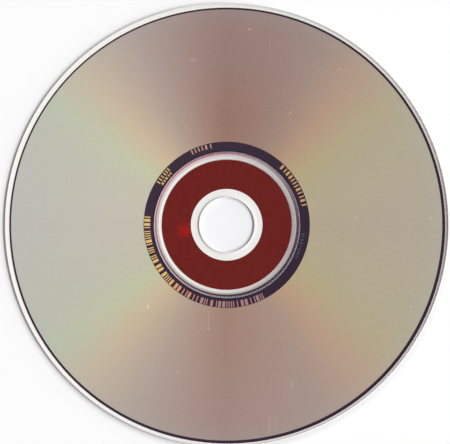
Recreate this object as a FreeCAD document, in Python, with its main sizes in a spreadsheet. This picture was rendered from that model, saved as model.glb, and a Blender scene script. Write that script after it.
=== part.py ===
"""Compact disc, read side up, as a parametric FreeCAD document. Sizes are in millimetres.

Z is the disc's axis. The underside of the label print is at z = 0 and the read side faces +Z.
Layers from the bottom: label print, lacquer, aluminium film, clear polycarbonate disc.
"""
import FreeCAD, Part
import os
import Sketcher

# Driving sizes. The three coats are thinner on a real disc
SIZES = {
    "disc_diameter": 120.0,
    "hole_diameter": 15.0,
    "disc_thickness": 1.2,
    "rim_round": 0.25,
    "hole_chamfer": 0.15,
    "film_thickness": 0.01,
    "lacquer_thickness": 0.01,
    "ink_thickness": 0.02,
    "clear_hub_width": 2.2,
    "hub_print_width": 7.9,
    "groove_clearance": 0.15,
    "groove_width": 0.7,
    "groove_depth": 0.15,
    "groove_flank": 0.12,
    "ring_clearance": 0.1,
    "ring_width": 0.9,
    "ring_height": 0.2,
    "ring_flank": 0.2,
    "ring_round": 0.06,
    "film_clearance": 0.35,
    "clear_rim_width": 1.05,
    "lacquer_lap": 0.3,
    "label_inset": 0.5,
}

# Places that follow from them: radii outwards from the hole or inwards from the rim, then heights
PLACES = {
    "disc_radius": "=disc_diameter / 2",
    "hole_radius": "=hole_diameter / 2",
    "hub_print_inner": "=hole_radius + clear_hub_width",
    "hub_print_outer": "=hub_print_inner + hub_print_width",
    "groove_inner": "=hub_print_outer + groove_clearance",
    "groove_outer": "=groove_inner + groove_width",
    "ring_inner": "=groove_outer + ring_clearance",
    "ring_outer": "=ring_inner + ring_width",
    "film_inner": "=ring_outer + film_clearance",
    "film_outer": "=disc_radius - clear_rim_width",
    "lacquer_inner": "=film_inner - lacquer_lap",
    "lacquer_outer": "=film_outer + lacquer_lap",
    "label_inner": "=film_inner + label_inset",
    "label_outer": "=film_outer - label_inset",
    "ring_top": "=disc_thickness + ring_height",
    "lacquer_edge_height": "=lacquer_thickness + film_thickness",
    "film_height": "=ink_thickness + lacquer_thickness",
    "disc_height": "=film_height + film_thickness",
    "hub_print_height": "=disc_height - ink_thickness",
}

X_AXIS = -1
ORIGIN = (-1, 1)
START = 1
END = 2
CENTRE = 3
SAME = 1e-6


def fill_sheet(document):
    """Write every size and place to the sheet, one row each, under its own alias."""
    sheet = document.addObject("Spreadsheet::Sheet", "Sizes")
    for row, (name, value) in enumerate({**SIZES, **PLACES}.items(), start=1):
        sheet.set(f"A{row}", name)
        sheet.set(f"B{row}", str(value))
        sheet.setAlias(f"B{row}", name)
    document.recompute()
    return sheet


def new_body(document, name):
    body = document.addObject("PartDesign::Body", name)
    body.Label = name
    return body


def new_sketch(body, name, role):
    """An empty sketch on one of the body's own origin planes."""
    sketch = body.newObject("Sketcher::SketchObject", name)
    plane = next(item for item in body.Origin.OriginFeatures if item.Role == role)
    sketch.AttachmentSupport = [(plane, "")]
    sketch.MapMode = "FlatFace"
    return sketch


def ring_sketch(sheet, body, name, radii):
    """Concentric circles on the XY plane, each radius bound to a cell of the sheet."""
    sketch = new_sketch(body, name, "XY_Plane")
    for radius in radii:
        circle = Part.Circle(FreeCAD.Vector(0, 0, 0), FreeCAD.Vector(0, 0, 1), sheet.get(radius))
        index = sketch.addGeometry(circle, False)
        sketch.addConstraint(Sketcher.Constraint("Coincident", index, CENTRE, *ORIGIN))
        bound = sketch.addConstraint(Sketcher.Constraint("Radius", index, sheet.get(radius)))
        sketch.setExpression(f"Constraints[{bound}]", f"Sizes.{radius}")
    return sketch


def section_sketch(sheet, body, name, corners):
    """A closed section on the XZ plane. A corner is a radius and a height, each an expression."""
    sketch = new_sketch(body, name, "XZ_Plane")
    places = []
    for radius, height in corners:
        places.append(FreeCAD.Vector(value_of(sheet, radius), value_of(sheet, height), 0))
    for index, place in enumerate(places):
        following = places[(index + 1) % len(places)]
        sketch.addGeometry(Part.LineSegment(place, following), False)
    for index, (radius, height) in enumerate(corners):
        following = (index + 1) % len(corners)
        sketch.addConstraint(Sketcher.Constraint("Coincident", index, END, following, START))
        bind_distance(sketch, "DistanceX", index, places[index].x, radius)
        if height == "0":
            sketch.addConstraint(Sketcher.Constraint("PointOnObject", index, START, X_AXIS))
        else:
            bind_distance(sketch, "DistanceY", index, places[index].y, height)
    return sketch


def value_of(sheet, expression):
    """The number that an expression on the sheet's aliases gives now."""
    return float(sheet.evalExpression(expression))


def bind_distance(sketch, kind, index, value, expression):
    """Hold the start of a line at a distance from the origin that follows the sheet."""
    bound = sketch.addConstraint(Sketcher.Constraint(kind, *ORIGIN, index, START, value))
    words = [f"Sizes.{word}" if word[0].isalpha() else word for word in expression.split()]
    sketch.setExpression(f"Constraints[{bound}]", " ".join(words))


def turn(body, kind, name, sketch):
    """Turn a section a full circle about the disc's axis, to add or to cut."""
    feature = body.newObject(f"PartDesign::{kind}", name)
    feature.Profile = sketch
    feature.ReferenceAxis = (sketch, ["V_Axis"])
    feature.Angle = 360.0
    sketch.Visibility = False
    return feature


def pad_ring(sheet, body, name, radii, thickness):
    sketch = ring_sketch(sheet, body, f"{name}_outline", radii)
    pad = body.newObject("PartDesign::Pad", name)
    pad.Profile = sketch
    pad.setExpression("Length", f"Sizes.{thickness}")
    return pad


def raise_body(body, height):
    body.setExpression("Placement.Base.z", f"Sizes.{height}")


def round_edges(shape, radius, heights):
    """Names of the full circles of this radius that lie at one of the heights."""
    names = []
    for index, edge in enumerate(shape.Edges, start=1):
        if not isinstance(edge.Curve, Part.Circle) or abs(edge.Curve.Radius - radius) > SAME:
            continue
        if any(abs(edge.Curve.Center.z - height) < SAME for height in heights):
            names.append(f"Edge{index}")
    return names


def finish_edges(document, body, kind, name, base, names, size):
    """A fillet or a chamfer on the named edges of the feature before it."""
    feature = body.newObject(f"PartDesign::{kind}", name)
    feature.Base = (base, names)
    feature.setExpression("Radius" if kind == "Fillet" else "Size", f"Sizes.{size}")
    document.recompute()
    return feature


def make_clear_disc(document, sheet):
    """The moulded disc: plate, stack ring on the read side, holder groove on the label side."""
    body = new_body(document, "clear_disc")
    pad_ring(sheet, body, "plate", ("disc_radius", "hole_radius"), "disc_thickness")
    ring_section = section_sketch(sheet, body, "stack_ring_section", (
        ("ring_inner", "disc_thickness"),
        ("ring_outer", "disc_thickness"),
        ("ring_outer - ring_flank", "ring_top"),
        ("ring_inner + ring_flank", "ring_top"),
    ))
    turn(body, "Revolution", "stack_ring", ring_section)
    groove_section = section_sketch(sheet, body, "holder_groove_section", (
        ("groove_inner", "0"),
        ("groove_outer", "0"),
        ("groove_outer - groove_flank", "groove_depth"),
        ("groove_inner + groove_flank", "groove_depth"),
    ))
    groove = turn(body, "Groove", "holder_groove", groove_section)
    document.recompute()

    faces = (0.0, sheet.disc_thickness)
    names = round_edges(groove.Shape, sheet.hole_radius, faces)
    hole = finish_edges(document, body, "Chamfer", "hole_edges", groove, names, "hole_chamfer")
    names = round_edges(hole.Shape, sheet.disc_radius, faces)
    rim = finish_edges(document, body, "Fillet", "rim_edges", hole, names, "rim_round")
    names = []
    for radius in (sheet.ring_inner + sheet.ring_flank, sheet.ring_outer - sheet.ring_flank):
        names += round_edges(rim.Shape, radius, (sheet.ring_top,))
    finish_edges(document, body, "Fillet", "ring_edges", rim, names, "ring_round")
    raise_body(body, "disc_height")
    return body


def make_reflective_layer(document, sheet):
    """The aluminium film, one flat ring from the mirror band to the clear rim."""
    body = new_body(document, "reflective_layer")
    pad_ring(sheet, body, "film", ("film_outer", "film_inner"), "film_thickness")
    raise_body(body, "film_height")
    return body


def make_lacquer_coat(document, sheet):
    """The lacquer, a shallow channel that holds the film and laps over both its edges."""
    body = new_body(document, "lacquer_coat")
    section = section_sketch(sheet, body, "lacquer_section", (
        ("lacquer_inner", "0"),
        ("lacquer_outer", "0"),
        ("lacquer_outer", "lacquer_edge_height"),
        ("film_outer", "lacquer_edge_height"),
        ("film_outer", "lacquer_thickness"),
        ("film_inner", "lacquer_thickness"),
        ("film_inner", "lacquer_edge_height"),
        ("lacquer_inner", "lacquer_edge_height"),
    ))
    turn(body, "Revolution", "lacquer", section)
    raise_body(body, "ink_thickness")
    return body


def make_hub_print(document, sheet):
    """The printed ring on the label side of the clear hub."""
    body = new_body(document, "hub_print")
    pad_ring(sheet, body, "hub_ink", ("hub_print_outer", "hub_print_inner"), "ink_thickness")
    raise_body(body, "hub_print_height")
    return body


def make_label_print(document, sheet):
    """The print over the lacquered film, on which the disc lies."""
    body = new_body(document, "label_print")
    pad_ring(sheet, body, "label_ink", ("label_outer", "label_inner"), "ink_thickness")
    return body


def check_and_write(document, bodies):
    """Stop on any failed feature or faulty shape, then write one STEP file for each body."""
    document.recompute()
    for item in document.Objects:
        if "Invalid" in item.State or "Error" in item.State:
            raise RuntimeError(f"{item.Name} failed: {item.State}")
    os.makedirs("parts", exist_ok=True)
    for body in bodies:
        shape = body.Shape
        if shape.isNull() or not shape.isValid() or len(shape.Solids) != 1:
            raise RuntimeError(f"{body.Label} has a faulty shape")
    for body in bodies:
        body.Shape.exportStep(f"parts/{body.Label}.step")
        box = body.Shape.BoundBox
        print(f"{body.Label}: {body.Shape.Volume:.3f} mm3, z {box.ZMin:.3f} to {box.ZMax:.3f}")


def main():
    document = FreeCAD.newDocument("compact_disc")
    sheet = fill_sheet(document)
    makers = (
        make_clear_disc,
        make_reflective_layer,
        make_lacquer_coat,
        make_hub_print,
        make_label_print,
    )
    bodies = [make(document, sheet) for make in makers]
    check_and_write(document, bodies)


main()
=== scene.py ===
"""The looks of a pressed compact disc that lies read side up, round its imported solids.

Lengths are in metres unless a name ends in _MM. Angles and bearings are in degrees, anticlockwise
from +X. Colours are as a screen shows them, 0 to 255. A fade is the power a share is raised to.
"""
import bpy
import math
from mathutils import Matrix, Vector


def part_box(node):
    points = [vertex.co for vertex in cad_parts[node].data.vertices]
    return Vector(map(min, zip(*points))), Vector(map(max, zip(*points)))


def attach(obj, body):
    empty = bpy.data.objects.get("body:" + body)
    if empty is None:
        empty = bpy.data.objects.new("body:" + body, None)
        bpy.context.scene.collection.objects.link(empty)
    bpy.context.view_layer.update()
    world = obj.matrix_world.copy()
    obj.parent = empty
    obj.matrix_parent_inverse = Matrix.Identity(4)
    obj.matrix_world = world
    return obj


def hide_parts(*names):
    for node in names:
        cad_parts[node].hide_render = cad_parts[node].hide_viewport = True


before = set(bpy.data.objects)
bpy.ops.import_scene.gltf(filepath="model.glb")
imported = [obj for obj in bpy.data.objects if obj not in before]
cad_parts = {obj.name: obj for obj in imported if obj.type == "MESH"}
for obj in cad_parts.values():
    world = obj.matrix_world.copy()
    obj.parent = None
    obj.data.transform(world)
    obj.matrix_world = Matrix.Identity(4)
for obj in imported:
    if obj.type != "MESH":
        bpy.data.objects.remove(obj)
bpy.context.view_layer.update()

MM = 0.001
ROOT = "root"

# The photograph: a flatbed scan, straight down on the read side
FRAME_WIDTH_PX = 450
FRAME_HEIGHT_PX = 444
DISC_ACROSS_PX = 443.5
DISC_CENTRE_PX = (226.7, 224.8)
CAMERA_HEIGHT = 0.5
NEAR_CLIP = 0.01

# Moulded sizes that a node's box doesn't give
DISC_THICKNESS_MM = 1.2
HOLE_CHAMFER_MM = 0.15
RIM_ROUND_MM = 0.25
GROOVE_MM = (17.75, 18.45)
GROOVE_DEPTH_MM = 0.15
GROOVE_FLANK_MM = 0.12
RING_MM = (18.55, 19.45)
RING_FLANK_MM = 0.2
RING_ROUND_MM = 0.06
LACQUER_THICKNESS_MM = 0.01

# Zones of the film, as radii
DATA_START_MM = 22.49
DATA_END_MM = 58.33
DATA_SHIFT_MM = (0.0, -0.05)
DATA_EDGE_MM = 0.06

# The film's two edges lie a little off the disc's centre and a hair further out than its node's
FILM_INNER_SHIFT_MM = (0.1, -0.02)
FILM_OUTER_SHIFT_MM = (0.16, -0.21)
FILM_INNER_STRETCH = 1.0025
FILM_OUTER_STRETCH = 1.0005

# Painted shade and light in the clear plastic, in circles from the hub outwards: the dark and pale
# lines that refraction through the ring's flanks shows, and the shade by the hole and the rim,
# paler on one side. For each, the radius where one starts, how it looks over the pale floor at its
# brightest and on the far side, the bearing of its brightest place, and the fade from there
CLEAR_COLOUR = (238, 237, 235)
PAINTED_SHADE_CIRCLES = (
    (7.0, (238, 232, 232), (172, 156, 154), 0, 0.5),
    (7.82, CLEAR_COLOUR, (234, 227, 223), 0, 1),
    (8.3, (238, 235, 234), (230, 227, 228), 180, 1),
    (17.58, (236, 214, 214), (112, 92, 98), 215, 1),
    (17.76, CLEAR_COLOUR, (168, 157, 163), 180, 1),
    (18.42, (202, 194, 193), (164, 151, 151), 130, 1),
    (18.88, (214, 182, 186), (60, 44, 48), 130, 2.6),
    (19.12, (184, 84, 104), (34, 22, 32), 125, 3),
    (19.44, (220, 200, 212), (66, 56, 74), 186, 4),
    (19.62, (158, 150, 168), (138, 126, 144), 200, 1),
    (20.1, CLEAR_COLOUR, CLEAR_COLOUR, 0, 1),
    (59.2, CLEAR_COLOUR, (180, 167, 165), 180, 0.5),
    (59.55, (234, 229, 229), (152, 136, 130), 180, 0.5),
)
CIRCLE_BLUR_MM = 0.06

# A painted highlight: a paler stretch of the ring's outer flank, at the upper right
FLANK_HIGHLIGHT_MM = (19.05, 19.6)
FLANK_HIGHLIGHT_BEARING = 58
FLANK_HIGHLIGHT_FADE = 20
FLANK_HIGHLIGHT_SHARE = 0.22
FLANK_HIGHLIGHT_COLOUR = (182, 186, 190)

# A coat bites this far into the plastic that it is bonded to, so that no two faces share a plane
BOND_MM = 0.002

# Steps round the disc and round an edge. A row of points this far past a rounding keeps the face
# beside it flat, and an edge that bends by more than the last angle is sharp
TURN_STEPS = 720
ARC_STEPS = 8
HOLD_MM = 0.04
SHARP_ANGLE = 35.0

# Marks in the mirror band: name, how many, bearings where they start and end, inner and outer
# radius, thin and wide bar, thin and wide gap
MARKS = (
    ("bar_code", 49, 174.0, 298.0, 20.72, 22.36, 0.28, 0.74, 0.26, 0.66),
    ("right_ticks", 12, 14.0, 49.0, 20.95, 22.25, 0.34, 0.62, 0.6, 0.8),
    ("top_ticks", 6, 101.0, 117.5, 21.1, 22.3, 0.34, 0.56, 0.6, 0.8),
    ("left_ticks_inner", 5, 137.0, 149.0, 20.25, 20.9, 0.4, 0.66, 0.4, 0.5),
    ("left_ticks_outer", 6, 136.0, 150.0, 21.2, 22.2, 0.4, 0.66, 0.36, 0.5),
    ("faint_ticks", 10, 334.0, 355.0, 20.4, 21.2, 0.18, 0.36, 0.4, 0.6),
)
MARK_RELIEF_MM = 0.015
WIDE_BAR_ODDS = 0.4
WIDE_GAP_ODDS = 0.36
GAP_SEED_OFFSET = 50

# The floor's colour in the hole, under the hub, outside the disc and close beside its rim: painted
# shadow, darker in the hole, under the hub and beside the rim
HOLE_FLOOR = (245, 245, 247)
HUB_FLOOR = (249, 249, 251)
OPEN_FLOOR = (253, 253, 253)
NEAR_FLOOR = (234, 232, 235)
FLOOR_HALF_WIDTH = 2.0

# Where each of those gives way to the next, and where the shade beside the rim comes and goes
HOLE_FLOOR_ENDS_MM = (5.0, 8.0)
HUB_FLOOR_ENDS_MM = (30.0, 50.0)
NEAR_FLOOR_STARTS_MM = (60.0, 60.3)
NEAR_FLOOR_ENDS_MM = (60.4, 62.2)
NEAR_FLOOR_BEARING = 250

LAMP_ELEVATION = 60.0
LAMP_DISTANCE = 4.0
LAMP_SIZE = (4.4, 1.2)
LAMP_WATTS = 140.0


def linear(red, green, blue):
    """A colour given as it looks on a screen, 0 to 255, in the renderer's own linear numbers."""
    parts = []
    for level in (red, green, blue):
        share = level / 255
        parts.append(share / 12.92 if share <= 0.04045 else ((share + 0.055) / 1.055) ** 2.4)
    return (*parts, 1.0)


class Value:
    """An output socket. Arithmetic on it adds Math nodes to its tree."""

    def __init__(self, nodes, socket):
        self.nodes = nodes
        self.socket = socket

    def beside(self, name):
        """Another output of the same node."""
        return Value(self.nodes, self.socket.node.outputs[name])

    def __add__(self, other):
        return self.nodes.math("ADD", self, other)

    def __sub__(self, other):
        return self.nodes.math("SUBTRACT", self, other)

    def __rsub__(self, other):
        return self.nodes.math("SUBTRACT", other, self)

    def __mul__(self, other):
        return self.nodes.math("MULTIPLY", self, other)

    def __truediv__(self, other):
        return self.nodes.math("DIVIDE", self, other)

    def __pow__(self, power):
        return self.nodes.math("POWER", self, power)

    def __abs__(self):
        return self.nodes.math("ABSOLUTE", self)

    __radd__ = __add__
    __rmul__ = __mul__


class Nodes:
    """A node tree, and the nodes that are added to it."""

    def __init__(self, tree):
        self.tree = tree

    def add(self, kind, inputs=None, output=0, stops=None, **settings):
        """A node of that kind with its settings made first, then its sockets set or linked."""
        node = self.tree.nodes.new(kind)
        for name, value in settings.items():
            setattr(node, name, value)
        if stops:
            set_stops(node.color_ramp, stops)
        for key, value in (inputs or {}).items():
            self.join(value, node.inputs[key])
        return Value(self, node.outputs[output]) if node.outputs else None

    def join(self, value, socket):
        if isinstance(value, Value):
            self.tree.links.new(value.socket, socket)
        else:
            socket.default_value = value

    def math(self, operation, *values):
        return self.add("ShaderNodeMath", dict(enumerate(values)), operation=operation)

    def step(self, value, start, end):
        """0 up to start and 1 past end, smooth between."""
        inputs = {"Value": value, "From Min": start, "From Max": end}
        return self.add("ShaderNodeMapRange", inputs, interpolation_type="SMOOTHSTEP")

    def band(self, value, low, high, blur):
        """1 between two values and 0 outside them, with soft edges."""
        past_high = self.step(value, high - blur, high + blur)
        return self.step(value, low - blur, low + blur) * (1 - past_high)

    def chance(self, odds, seed):
        """1 or 0 at random for each point, 1 with those odds. Output 3 is the node's yes or no."""
        inputs = {"Probability": odds, "Seed": seed}
        return self.add("FunctionNodeRandomValue", inputs, output=3, data_type="BOOLEAN")

    def mix(self, factor, first, second, blend="MIX"):
        """One colour into another. Inputs 6 and 7 of the node and its output 2 are colours."""
        inputs = {0: factor, 6: first, 7: second}
        return self.add("ShaderNodeMix", inputs, output=2, data_type="RGBA", blend_type=blend)


class Finish(Nodes):
    """A material: its Principled shader, and the nodes that vary over the surface."""

    def __init__(self, name, **constants):
        self.material = bpy.data.materials.new(name)
        self.material.use_nodes = True
        super().__init__(self.material.node_tree)
        self.shader = next(node for node in self.tree.nodes if node.type == "BSDF_PRINCIPLED")
        for words, value in constants.items():
            self.shader.inputs[words.replace("_", " ")].default_value = value

    def feed(self, socket, value):
        """Let a value that varies over the surface drive one of the shader's sockets."""
        self.join(value, self.shader.inputs[socket])

    def place(self):
        """Object coordinates in millimetres."""
        point = self.add("ShaderNodeTexCoord", output="Object")
        x = self.add("ShaderNodeSeparateXYZ", {0: point})
        y = x.beside("Y")
        return x / MM, y / MM, x.beside("Z") / MM

    def vector(self, operation, *values, output="Vector"):
        inputs = dict(enumerate(values))
        return self.add("ShaderNodeVectorMath", inputs, output, operation=operation)

    def near(self, x, y, wide, tall):
        """1 at a place on the disc, 0 past an ellipse of that half width and height round it."""
        point = self.add("ShaderNodeTexCoord", output="Object")
        offset = self.vector("SUBTRACT", point, (x * MM, y * MM, 0.0))
        scaled = self.vector("MULTIPLY", offset, (1 / (wide * MM), 1 / (tall * MM), 0.0))
        return 1 - self.step(self.vector("LENGTH", scaled, output="Value"), SPOT_CORE, 1.0)

    def noise(self, scale):
        point = self.add("ShaderNodeTexCoord", output="Object")
        return self.add("ShaderNodeTexNoise", {"Vector": point, "Scale": scale})

    def mix_shader(self, factor, first, second):
        return self.add("ShaderNodeMixShader", {0: factor, 1: first, 2: second})

    def bump(self, height, strength, distance):
        inputs = {"Height": height, "Strength": strength, "Distance": distance}
        self.feed("Normal", self.add("ShaderNodeBump", inputs))


def set_stops(ramp, stops):
    """Set a colour ramp's stops, each a place from 0 to 1 and a colour."""
    while len(ramp.elements) > 1:
        ramp.elements.remove(ramp.elements[0])
    ramp.elements[0].position, ramp.elements[0].color = stops[0]
    for place, colour in stops[1:]:
        ramp.elements.new(place).color = colour


# Light of the room by height, 0 at the horizon and 1 straight up
ROOM_LIGHT = (
    (0.0, (1.0, 1.0, 1.0, 1.0)),
    (0.12, (1.0, 1.0, 1.0, 1.0)),
    (0.35, (0.34, 0.34, 0.34, 1.0)),
    (0.955, (0.34, 0.34, 0.34, 1.0)),
    (0.985, (0.15, 0.15, 0.15, 1.0)),
)


def reach(x, y):
    """How far a place is from where x and y are both 0."""
    return (x * x + y * y) ** 0.5


def toward(x, y, bearing):
    """1 on the side of the disc that a bearing points to, 0 on the far side."""
    angle = math.radians(bearing)
    return 0.5 + 0.5 * (x * math.cos(angle) + y * math.sin(angle)) / reach(x, y)


# Painted iridescence of the data area, the diffraction colours that the lamp throws back, paler on
# the left, from the horizontal axis to the vertical one, on each side
RIGHT_FAN = (
    (0, (175, 161, 140)),
    (24, (178, 166, 137)),
    (36, (183, 167, 130)),
    (48, (190, 155, 129)),
    (62, (172, 143, 130)),
    (78, (170, 133, 121)),
    (90, (173, 136, 122)),
)
LEFT_FAN = (
    (0, (198, 191, 179)),
    (24, (200, 196, 178)),
    (34, (202, 204, 174)),
    (46, (216, 195, 165)),
    (64, (197, 174, 161)),
    (78, (191, 159, 145)),
    (90, (175, 138, 124)),
)

# How far the hues drift along a fan on their way to the rim, as a share of the fan
FAN_DRIFT = 0.03

# One side's fan gives way to the other's over this much of the radius, right and left
SIDE_BLEND = 0.9

# Painted shade multiplied over the fans, each round its own bearing
TOP_SHADE = (234, 225, 224)
TOP_BEARING = 83
TOP_FADE = 14
LOW_LEFT_SHADE = (250, 250, 247)
LOW_LEFT_BEARING = 226
LOW_LEFT_FADE = 8

# Painted diffraction hues mixed in by radius: the colour, how much of it, and for two the radii
# from none of it to all
FAR_OUT_RIGHT = (170, 172, 178)
FAR_OUT_LEFT = (166, 186, 208)
FAR_OUT_SHARE = 0.16
RIM_HUE = (164, 190, 200)
RIM_HUE_SHARE = 0.1
RIM_HUE_MM = (53.0, 58.5)
HUB_HUE = (200, 178, 96)
HUB_HUE_SHARE = 0.05
HUB_HUE_MM = (29.0, 22.0)

# Specks and scratches on the data area: place, half width, half height, and how plainly each shows
SCUFFS = (
    (-21.3, -22.2, 0.4, 0.9, 0.7),
    (-21.3, -18.4, 0.45, 0.7, 0.2),
    (6.2, 52.9, 0.5, 0.4, 0.5),
    (-24.1, 30.2, 0.4, 0.4, 0.35),
    (17.1, 30.2, 0.45, 0.4, 0.3),
    (20.3, 21.9, 0.8, 0.35, 0.15),
    (30.7, 42.2, 0.45, 0.5, 0.25),
    (-9.1, 44.6, 1.6, 0.9, 0.1),
    (35.0, 2.1, 0.8, 0.6, 0.15),
    (55.2, 1.8, 0.5, 0.7, 0.2),
    (49.8, -22.2, 0.4, 0.5, 0.25),
    (-5.0, -28.0, 0.4, 0.5, 0.45),
    (-4.9, -25.6, 0.14, 2.6, 0.25),
    (-13.3, -39.7, 0.4, 0.4, 0.35),
    (17.6, -43.2, 0.9, 1.5, 0.12),
    (11.6, -54.2, 0.16, 3.6, 0.3),
    (13.5, -53.6, 0.16, 2.4, 0.2),
    (11.6, 48.0, 0.2, 5.4, 0.1),
    (-54.2, -7.4, 0.7, 0.3, 0.15),
)
SCUFF_COLOUR = (238, 228, 218)

# A speck is at its full strength out to this share of its half width
SPOT_CORE = 0.2

SAND_SCALE = 1400.0
SAND_SHARE = 0.06
SAND_DARK = (90, 90, 90)
SAND_PALE = (255, 255, 255)

# The mirror band's colour, and the paler colour painted on as light toward one bearing
MIRROR_COLOUR = (128, 90, 130)
MIRROR_LIT_COLOUR = (146, 112, 148)
MIRROR_LIT_BEARING = 150
MIRROR_ROUGHNESS = 0.08
DATA_ROUGHNESS = 0.5


def fan_colours(finish, fan, place):
    stops = [(angle / 90, linear(*colour)) for angle, colour in fan]
    return finish.add("ShaderNodeValToRGB", {0: place}, stops=stops)


def film_finish():
    """Aluminium: dark mirror at both edges, painted paler on one side, and between them the data's
    satin
    rainbow: painted diffraction colours, with painted light and shade by bearing.
    """
    film = Finish("aluminium_film", Metallic=1.0, Anisotropic=0.2, Anisotropic_Rotation=0.25)
    x, y, _ = film.place()
    radius = reach(x, y)
    folded = film.math("ARCTAN2", abs(y), abs(x)) / (math.pi / 2)
    outward = film.step(radius, DATA_START_MM, DATA_END_MM)
    fan_place = folded - outward * FAN_DRIFT * (1 - folded)
    leftward = film.step(x / radius, SIDE_BLEND, -SIDE_BLEND)
    # The painted diffraction colours of the two fans, paler on the left
    rainbow = film.mix(
        leftward,
        fan_colours(film, RIGHT_FAN, fan_place),
        fan_colours(film, LEFT_FAN, fan_place),
    )
    # Painted shade at the top and at the lower left
    at_top = toward(x, y, TOP_BEARING) ** TOP_FADE
    rainbow = film.mix(at_top, rainbow, linear(*TOP_SHADE), "MULTIPLY")
    low_left = toward(x, y, LOW_LEFT_BEARING) ** LOW_LEFT_FADE
    rainbow = film.mix(low_left, rainbow, linear(*LOW_LEFT_SHADE), "MULTIPLY")
    far_out = film.mix(leftward, linear(*FAR_OUT_RIGHT), linear(*FAR_OUT_LEFT))
    rainbow = film.mix(outward * FAR_OUT_SHARE, rainbow, far_out)
    near_rim = film.step(radius, *RIM_HUE_MM) * RIM_HUE_SHARE
    rainbow = film.mix(near_rim, rainbow, linear(*RIM_HUE))
    near_hub = film.step(radius, *HUB_HUE_MM) * HUB_HUE_SHARE
    rainbow = film.mix(near_hub, rainbow, linear(*HUB_HUE))
    for scuff_x, scuff_y, wide, tall, strength in SCUFFS:
        nearby = film.near(scuff_x, scuff_y, wide, tall) * strength
        rainbow = film.mix(nearby, rainbow, linear(*SCUFF_COLOUR))
    sand = film.mix(film.noise(SAND_SCALE), linear(*SAND_DARK), linear(*SAND_PALE))
    rainbow = film.mix(SAND_SHARE, rainbow, sand)
    off_centre = reach(x - DATA_SHIFT_MM[0], y - DATA_SHIFT_MM[1])
    data = film.step(radius, DATA_START_MM - DATA_EDGE_MM, DATA_START_MM + DATA_EDGE_MM)
    ended = film.step(off_centre, DATA_END_MM - DATA_EDGE_MM, DATA_END_MM + DATA_EDGE_MM)
    data = data * (1 - ended)
    # Painted light: the mirror band paler toward one bearing
    near = toward(x, y, MIRROR_LIT_BEARING)
    mirror = film.mix(near, linear(*MIRROR_COLOUR), linear(*MIRROR_LIT_COLOUR))
    film.feed("Base Color", film.mix(data, mirror, rainbow))
    film.feed("Roughness", MIRROR_ROUGHNESS + data * (DATA_ROUGHNESS - MIRROR_ROUGHNESS))
    return film.material


PLASTIC_TINT = (254, 254, 252)
LACQUER_TINT = (253, 253, 252)
PLASTIC_IOR = 1.585
LACQUER_IOR = 1.5
LACQUER_ROUGHNESS = 0.05

# How upright a normal is, from a sloping face to a flat one
FLAT_FACE = (0.9, 0.98)

# The two radii that no wall lies between, and their blur
NO_WALL_MM = (8.2, 59.2, 0.2)

# The lamp is along +X. How far a normal points there, from no wall that faces it to one that does,
# and from no wall that looks away to one that does
FACING_LAMP = (0.0, 0.6)
FACING_AWAY = (0.3, -0.3)
GATHERED_TINT = (1.5, 1.5, 1.5, 1.0)
EDGE_SHADE = (30, 25, 27)

# Light is bent down where it comes in through a wall above these heights
BENT_DOWN_MM = (0.55, 0.85)


def tint_seen_as(colour):
    """The tint of clear plastic that looks this colour over the floor. Glass shows its root."""
    pairs = zip(linear(*colour)[:3], linear(*CLEAR_COLOUR)[:3])
    return (*(min(1.0, (seen / clear) ** 2) for seen, clear in pairs), 1.0)


def clear_finish(name, tint, ior, roughness=0.0):
    """Clear plastic or lacquer. Lamps shine through its faces, and its hole and rim steer light.

    A wall throws the lamp's light back, so the floor is brighter on the side of the wall that faces
    the lamp and darker behind it. Light that comes in high through a wall is bent down, not lost.
    """
    clear = Finish(name, Transmission_Weight=1.0, IOR=ior, Roughness=roughness)
    clear.shader.inputs["Base Color"].default_value = tint
    x, y, z = clear.place()
    facing = clear.add("ShaderNodeNewGeometry", output="True Normal")
    lampward = clear.add("ShaderNodeSeparateXYZ", {0: facing})
    flat = clear.step(abs(lampward.beside("Z")), *FLAT_FACE)
    wall = (1 - flat) * (1 - clear.band(reach(x, y), *NO_WALL_MM))
    bent_down = facing.beside("Backfacing") * clear.step(z, *BENT_DOWN_MM)
    behind = clear.step(lampward, *FACING_AWAY) * (1 - bent_down)
    front_lit = clear.step(lampward, *FACING_LAMP)
    for_lamps = clear.add("ShaderNodeBsdfTransparent", {"Color": tint})
    gathered = clear.add("ShaderNodeBsdfTransparent", {"Color": GATHERED_TINT})
    shaded = clear.add("ShaderNodeBsdfTransparent", {"Color": linear(*EDGE_SHADE)})
    for_lamps = clear.mix_shader(wall * front_lit, for_lamps, gathered)
    for_lamps = clear.mix_shader(wall * behind, for_lamps, shaded)
    seen = clear.add("ShaderNodeLightPath", output="Is Camera Ray")
    surface = clear.mix_shader(seen, for_lamps, Value(clear, clear.shader.outputs[0]))
    output = next(node for node in clear.tree.nodes if node.type == "OUTPUT_MATERIAL")
    clear.join(surface, output.inputs["Surface"])
    return clear


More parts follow.
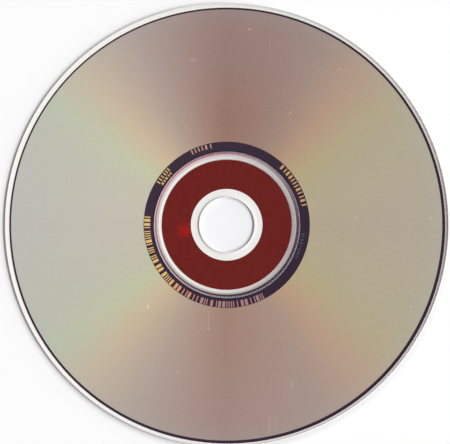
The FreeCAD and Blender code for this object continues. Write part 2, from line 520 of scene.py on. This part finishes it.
def clear_plastic():
    """Polycarbonate, with painted shade and light: the fine dark and pale circles that the moulded
    ring's flanks show by refraction, shade by the hole and rim, and a highlight on the ring's outer
    flank.
    """
    tint = linear(*PLASTIC_TINT)
    plastic = clear_finish("clear_polycarbonate", tint, PLASTIC_IOR)
    x, y, _ = plastic.place()
    # Each circle paints shade and light into the tint, darker on the far side from its bearing
    for start, brightest, far, bearing, fade in PAINTED_SHADE_CIRCLES:
        share = toward(x, y, bearing) ** fade
        shade = plastic.mix(share, tint_seen_as(far), tint_seen_as(brightest))
        past = plastic.step(reach(x, y), start - CIRCLE_BLUR_MM, start + CIRCLE_BLUR_MM)
        tint = plastic.mix(past, tint, shade)
    # A painted highlight on the ring's outer flank, at the upper right
    flank_highlight = plastic.band(reach(x, y), *FLANK_HIGHLIGHT_MM, CIRCLE_BLUR_MM)
    flank_highlight = flank_highlight * toward(x, y, FLANK_HIGHLIGHT_BEARING) ** FLANK_HIGHLIGHT_FADE * FLANK_HIGHLIGHT_SHARE
    plastic.feed("Base Color", plastic.mix(flank_highlight, tint, tint_seen_as(FLANK_HIGHLIGHT_COLOUR)))
    return plastic.material


def clear_lacquer():
    tint = linear(*LACQUER_TINT)
    return clear_finish("clear_lacquer", tint, LACQUER_IOR, LACQUER_ROUGHNESS).material


# Painted reflection: colours that the etched marks throw back, by bearing as a share of a full turn
MARK_COLOURS = (
    (0.0, (200, 160, 108)),
    (0.14, (204, 160, 110)),
    (0.29, (192, 146, 138)),
    (0.38, (206, 168, 104)),
    (0.48, (226, 192, 122)),
    (0.61, (228, 188, 120)),
    (0.65, (226, 158, 124)),
    (0.7, (182, 134, 128)),
    (0.84, (170, 126, 132)),
    (0.92, (84, 78, 104)),
    (0.99, (84, 78, 104)),
)


def etched_marks():
    """Aluminium made matt by pits, its reflected colours painted on by bearing round the disc."""
    marks = Finish("etched_marks", Metallic=0.4, Roughness=0.55, Specular_IOR_Level=0.0)
    x, y, _ = marks.place()
    bearing = marks.math("FRACT", marks.math("ARCTAN2", y, x) / (2 * math.pi))
    stops = [(place, linear(*colour)) for place, colour in MARK_COLOURS]
    marks.feed("Base Color", marks.add("ShaderNodeValToRGB", {0: bearing}, stops=stops))
    return marks.material


# The ink's grain, from dark to pale, and the blotches over it. Relief is the grain's own height
INK_DARK = (88, 18, 14)
INK_PALE = (127, 39, 32)
INK_BLOTCH = (113, 20, 15)
INK_GRAIN_SCALE = 900.0
INK_BLOTCH_SCALE = 180.0
INK_BLOTCH_SHARE = 0.5
INK_RELIEF = 0.00002
INK_RELIEF_SHARE = 0.1

# A painted highlight, a brighter streak on the hub print's left: its bearing and fade, its radii
# and their blur
INK_HIGHLIGHT_BEARING = 188
INK_HIGHLIGHT_FADE = 220
INK_HIGHLIGHT_MM = (9.2, 13.1, 1.3)
INK_HIGHLIGHT_SHARE = 0.3
INK_HIGHLIGHT_GRAIN_SHARE = 0.6
INK_HIGHLIGHT_COLOUR = (178, 22, 12)


def red_ink(name, gloss):
    """Screen-printed ink: dense, with a fine grain. Under the clear plastic its gloss is 0."""
    ink = Finish(name, Roughness=0.38, Specular_IOR_Level=gloss)
    x, y, _ = ink.place()
    grain = ink.noise(INK_GRAIN_SCALE)
    red = ink.mix(grain, linear(*INK_DARK), linear(*INK_PALE))
    red = ink.mix(ink.noise(INK_BLOTCH_SCALE) * INK_BLOTCH_SHARE, red, linear(*INK_BLOTCH))
    # A painted highlight: the brighter streak on the left of the hub print
    ink_highlight = toward(x, y, INK_HIGHLIGHT_BEARING) ** INK_HIGHLIGHT_FADE * ink.band(reach(x, y), *INK_HIGHLIGHT_MM)
    ink_highlight = ink_highlight * (INK_HIGHLIGHT_SHARE + grain * INK_HIGHLIGHT_GRAIN_SHARE)
    ink.feed("Base Color", ink.mix(ink_highlight, red, linear(*INK_HIGHLIGHT_COLOUR)))
    ink.bump(grain, INK_RELIEF_SHARE, INK_RELIEF)
    return ink.material


def floor_finish():
    """Near-white paper, darker in the hole and beside the rim, where less light reaches it."""
    floor = Finish("pale_floor", Roughness=0.9)
    x, y, _ = floor.place()
    radius = reach(x, y)
    past_hole = floor.step(radius, *HOLE_FLOOR_ENDS_MM)
    paper = floor.mix(past_hole, linear(*HOLE_FLOOR), linear(*HUB_FLOOR))
    paper = floor.mix(floor.step(radius, *HUB_FLOOR_ENDS_MM), paper, linear(*OPEN_FLOOR))
    beside = floor.step(radius, *NEAR_FLOOR_STARTS_MM) * toward(x, y, NEAR_FLOOR_BEARING)
    beside = beside * (1 - floor.step(radius, *NEAR_FLOOR_ENDS_MM))
    floor.feed("Base Color", floor.mix(beside, paper, linear(*NEAR_FLOOR)))
    return floor.material


def rounded(corners):
    """A closed section with its round corners filled in. A corner is radius, height, rounding."""
    line = []
    for index, (radius, height, rounding) in enumerate(corners):
        corner = Vector((radius, height))
        if not rounding:
            line.append(corner)
            continue
        before = Vector(corners[index - 1][:2]) - corner
        after = Vector(corners[(index + 1) % len(corners)][:2]) - corner
        opening = before.angle(after)
        cut_back = rounding / math.tan(opening / 2)
        centre = corner + (before.normalized() + after.normalized()).normalized() * (
            rounding / math.sin(opening / 2)
        )
        start = corner + before.normalized() * cut_back
        end = corner + after.normalized() * cut_back
        line.append(start + before.normalized() * min(HOLD_MM, (before.length - cut_back) / 3))
        for step in range(ARC_STEPS + 1):
            spoke = (start - centre).slerp(end - centre, step / ARC_STEPS)
            line.append(centre + spoke.normalized() * rounding)
        line.append(end + after.normalized() * min(HOLD_MM, (after.length - cut_back) / 3))
    return line


def turned(name, section, material):
    """A section in millimetres, drawn anticlockwise with the axis on its left, turned round Z."""
    count = len(section)
    points = []
    for step in range(TURN_STEPS):
        angle = 2 * math.pi * step / TURN_STEPS
        for radius, height in section:
            across = radius * MM
            points.append((across * math.cos(angle), across * math.sin(angle), height * MM))
    faces = []
    for step in range(TURN_STEPS):
        following = (step + 1) % TURN_STEPS
        for index in range(count):
            after = (index + 1) % count
            faces.append((
                step * count + index,
                following * count + index,
                following * count + after,
                step * count + after,
            ))
    mesh = bpy.data.meshes.new(name)
    mesh.from_pydata(points, [], faces)
    mesh.shade_smooth()
    mesh.set_sharp_from_angle(angle=math.radians(SHARP_ANGLE))
    mesh.materials.append(material)
    piece = bpy.data.objects.new(name, mesh)
    bpy.context.scene.collection.objects.link(piece)
    return piece


def span(node):
    """Inner and outer radius, lowest and highest point of a ring-shaped node, in millimetres."""
    low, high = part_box(node)
    radii = [point.co.xy.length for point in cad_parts[node].data.vertices]
    return min(radii) / MM, max(radii) / MM, low.z / MM, high.z / MM


def flat_ring(name, node, material, sunk=0.0):
    """A coat in the form of its node, with its upper face sunk into what is above it."""
    inner, outer, low, high = span(node)
    top = high + sunk
    return turned(name, [(inner, low), (outer, low), (outer, top), (inner, top)], material)


def stand_for(piece, node):
    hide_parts(node)
    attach(piece, ROOT)


def make_moulding():
    """The clear disc: chamfered hole, holder groove below, stack ring above, rounded rim."""
    hole, rim, low, crest = span("clear_disc")
    top = low + DISC_THICKNESS_MM
    groove_in, groove_out = GROOVE_MM
    ring_in, ring_out = RING_MM
    section = rounded((
        (hole + HOLE_CHAMFER_MM, low, 0),
        (groove_in, low, 0),
        (groove_in + GROOVE_FLANK_MM, low + GROOVE_DEPTH_MM, 0),
        (groove_out - GROOVE_FLANK_MM, low + GROOVE_DEPTH_MM, 0),
        (groove_out, low, 0),
        (rim, low, RIM_ROUND_MM),
        (rim, top, RIM_ROUND_MM),
        (ring_out, top, 0),
        (ring_out - RING_FLANK_MM, crest, RING_ROUND_MM),
        (ring_in + RING_FLANK_MM, crest, RING_ROUND_MM),
        (ring_in, top, 0),
        (hole + HOLE_CHAMFER_MM, top, 0),
        (hole, top - HOLE_CHAMFER_MM, 0),
        (hole, low + HOLE_CHAMFER_MM, 0),
    ))
    stand_for(turned("disc_moulding", section, clear_plastic()), "clear_disc")


def make_coats():
    """Film, lacquer and the two prints, from the read side down."""
    film = flat_ring("metal_film", "reflective_layer", film_finish(), BOND_MM)
    middle = sum(span("reflective_layer")[:2]) / 2 * MM
    for point in film.data.vertices:
        if point.co.xy.length > middle:
            point.co.xy = point.co.xy * FILM_OUTER_STRETCH + Vector(FILM_OUTER_SHIFT_MM) * MM
        else:
            point.co.xy = point.co.xy * FILM_INNER_STRETCH + Vector(FILM_INNER_SHIFT_MM) * MM
    stand_for(film, "reflective_layer")
    bonded_red = red_ink("red_under_plastic", gloss=0.0)
    bare_red = red_ink("red_label", gloss=0.25)
    stand_for(flat_ring("hub_ink", "hub_print", bonded_red, BOND_MM), "hub_print")
    stand_for(flat_ring("label_ink", "label_print", bare_red), "label_print")
    inner, outer, low, high = span("lacquer_coat")
    film_inner, film_outer, _, _ = span("reflective_layer")
    bed = low + LACQUER_THICKNESS_MM - BOND_MM
    top = high - BOND_MM
    section = [
        (inner, low),
        (outer, low),
        (outer, top),
        (film_outer + BOND_MM, top),
        (film_outer + BOND_MM, bed),
        (film_inner - BOND_MM, bed),
        (film_inner - BOND_MM, top),
        (inner, top),
    ]
    stand_for(turned("lacquer", section, clear_lacquer()), "lacquer_coat")


BAR_INPUTS = {
    "Count": "NodeSocketInt",
    "Start": "NodeSocketFloat",
    "End": "NodeSocketFloat",
    "Inner radius": "NodeSocketFloat",
    "Outer radius": "NodeSocketFloat",
    "Thin": "NodeSocketFloat",
    "Wide": "NodeSocketFloat",
    "Gap": "NodeSocketFloat",
    "Wide gap": "NodeSocketFloat",
    "Height": "NodeSocketFloat",
    "Relief": "NodeSocketFloat",
    "Seed": "NodeSocketInt",
    "Material": "NodeSocketMaterial",
}


def bars_on_an_arc():
    """Geometry nodes for flat bars of two widths at uneven spacing along an arc."""
    tree = bpy.data.node_groups.new("bars_on_an_arc", "GeometryNodeTree")
    for name, kind in BAR_INPUTS.items():
        tree.interface.new_socket(name, in_out="INPUT", socket_type=kind)
    tree.interface.new_socket("Geometry", in_out="OUTPUT", socket_type="NodeSocketGeometry")
    bars = Nodes(tree)
    given = bars.add("NodeGroupInput")
    count, start, end, inner, outer, thin, wide, gap, wide_gap, height, relief, seed, material = (
        given.beside(name) for name in BAR_INPUTS
    )
    is_wide = bars.chance(WIDE_BAR_ODDS, seed)
    far_on = bars.chance(WIDE_GAP_ODDS, seed + GAP_SEED_OFFSET)
    width = thin + is_wide * (wide - thin)
    pitch = width + gap + far_on * (wide_gap - gap)
    run = bars.add("GeometryNodeAccumulateField", {0: pitch}, output="Trailing")
    share = (run + width * 0.5) / run.beside("Total")
    angle = start + share * (end - start)
    middle = (inner + outer) * 0.5
    place = bars.add("ShaderNodeCombineXYZ", {
        0: middle * bars.math("COSINE", angle),
        1: middle * bars.math("SINE", angle),
        2: height + relief * 0.5,
    })
    points = bars.add("GeometryNodePoints", {"Count": count})
    points = bars.add("GeometryNodeSetPosition", {"Geometry": points, "Position": place})
    made = bars.add("GeometryNodeInstanceOnPoints", {
        "Points": points,
        "Instance": bars.add("GeometryNodeMeshCube", {"Size": (1.0, 1.0, 1.0)}),
        "Rotation": bars.add("ShaderNodeCombineXYZ", {2: angle}),
        "Scale": bars.add("ShaderNodeCombineXYZ", {0: outer - inner, 1: width, 2: relief}),
    })
    made = bars.add("GeometryNodeRealizeInstances", {0: made})
    made = bars.add("GeometryNodeSetMaterial", {"Geometry": made, "Material": material})
    bars.add("NodeGroupOutput", {0: made})
    return tree


def grown(name, tree, values):
    """The plain mesh object that a geometry tree makes with these values for its named inputs."""
    holder = bpy.data.objects.new(f"{name}_holder", bpy.data.meshes.new(f"{name}_holder"))
    bpy.context.scene.collection.objects.link(holder)
    modifier = holder.modifiers.new("grow", "NODES")
    modifier.node_group = tree
    for item in tree.interface.items_tree:
        if item.in_out == "INPUT":
            modifier[item.identifier] = values[item.name]
    depsgraph = bpy.context.evaluated_depsgraph_get()
    mesh = bpy.data.meshes.new_from_object(holder.evaluated_get(depsgraph), depsgraph=depsgraph)
    bpy.data.objects.remove(holder)
    mesh.name = name
    piece = bpy.data.objects.new(name, mesh)
    bpy.context.scene.collection.objects.link(piece)
    return piece


def make_marks():
    """A bar code and plain rows of ticks, raised a hair from the mirror band into the plastic."""
    tree = bars_on_an_arc()
    finish = etched_marks()
    film_top = span("reflective_layer")[3]
    for seed, (name, count, start, end, inner, outer, *widths) in enumerate(MARKS):
        thin, wide, gap, wide_gap = widths
        piece = grown(name, tree, {
            "Count": count,
            "Start": math.radians(start),
            "End": math.radians(end),
            "Inner radius": inner * MM,
            "Outer radius": outer * MM,
            "Thin": thin * MM,
            "Wide": wide * MM,
            "Gap": gap * MM,
            "Wide gap": wide_gap * MM,
            "Height": film_top * MM,
            "Relief": MARK_RELIEF_MM * MM,
            "Seed": seed,
            "Material": finish,
        })
        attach(piece, ROOT)


def make_floor():
    half = FLOOR_HALF_WIDTH
    mesh = bpy.data.meshes.new("floor")
    corners = [(-half, -half, 0), (half, -half, 0), (half, half, 0), (-half, half, 0)]
    mesh.from_pydata(corners, [], [(0, 1, 2, 3)])
    mesh.materials.append(floor_finish())
    floor = bpy.data.objects.new("floor", mesh)
    bpy.context.scene.collection.objects.link(floor)


def light_scene():
    """One long soft lamp high on the right, in a pale room that is dark straight overhead."""
    world = bpy.data.worlds.new("room")
    world.use_nodes = True
    room = Nodes(world.node_tree)
    direction = room.add("ShaderNodeTexCoord", output="Generated")
    height = room.add("ShaderNodeSeparateXYZ", {0: direction}, output="Z")
    light = room.add("ShaderNodeValToRGB", {0: height}, stops=ROOM_LIGHT)
    background = next(node for node in world.node_tree.nodes if node.type == "BACKGROUND")
    room.join(light, background.inputs["Color"])
    bpy.context.scene.world = world
    data = bpy.data.lights.new("long_lamp", "AREA")
    data.shape = "RECTANGLE"
    data.size, data.size_y = LAMP_SIZE
    data.energy = LAMP_WATTS
    lamp = bpy.data.objects.new("long_lamp", data)
    rise = math.radians(LAMP_ELEVATION)
    lamp.location = (LAMP_DISTANCE * math.cos(rise), 0.0, LAMP_DISTANCE * math.sin(rise))
    lamp.rotation_euler = Vector(lamp.location).to_track_quat("Z", "Y").to_euler()
    bpy.context.scene.collection.objects.link(lamp)


def place_camera():
    """Straight down with no perspective, framed as the photograph frames the disc."""
    px = 2 * span("clear_disc")[1] * MM / DISC_ACROSS_PX
    across = DISC_CENTRE_PX[0] - FRAME_WIDTH_PX / 2
    down = DISC_CENTRE_PX[1] - FRAME_HEIGHT_PX / 2
    data = bpy.data.cameras.new("scanner")
    data.type = "ORTHO"
    data.ortho_scale = FRAME_WIDTH_PX * px
    data.clip_start = NEAR_CLIP
    camera = bpy.data.objects.new("scanner", data)
    camera.location = (-across * px, down * px, CAMERA_HEIGHT)
    bpy.context.scene.collection.objects.link(camera)
    bpy.context.scene.camera = camera


make_moulding()
make_coats()
make_marks()
make_floor()
light_scene()
place_camera()
bpy.context.scene.view_settings.view_transform = "Standard"
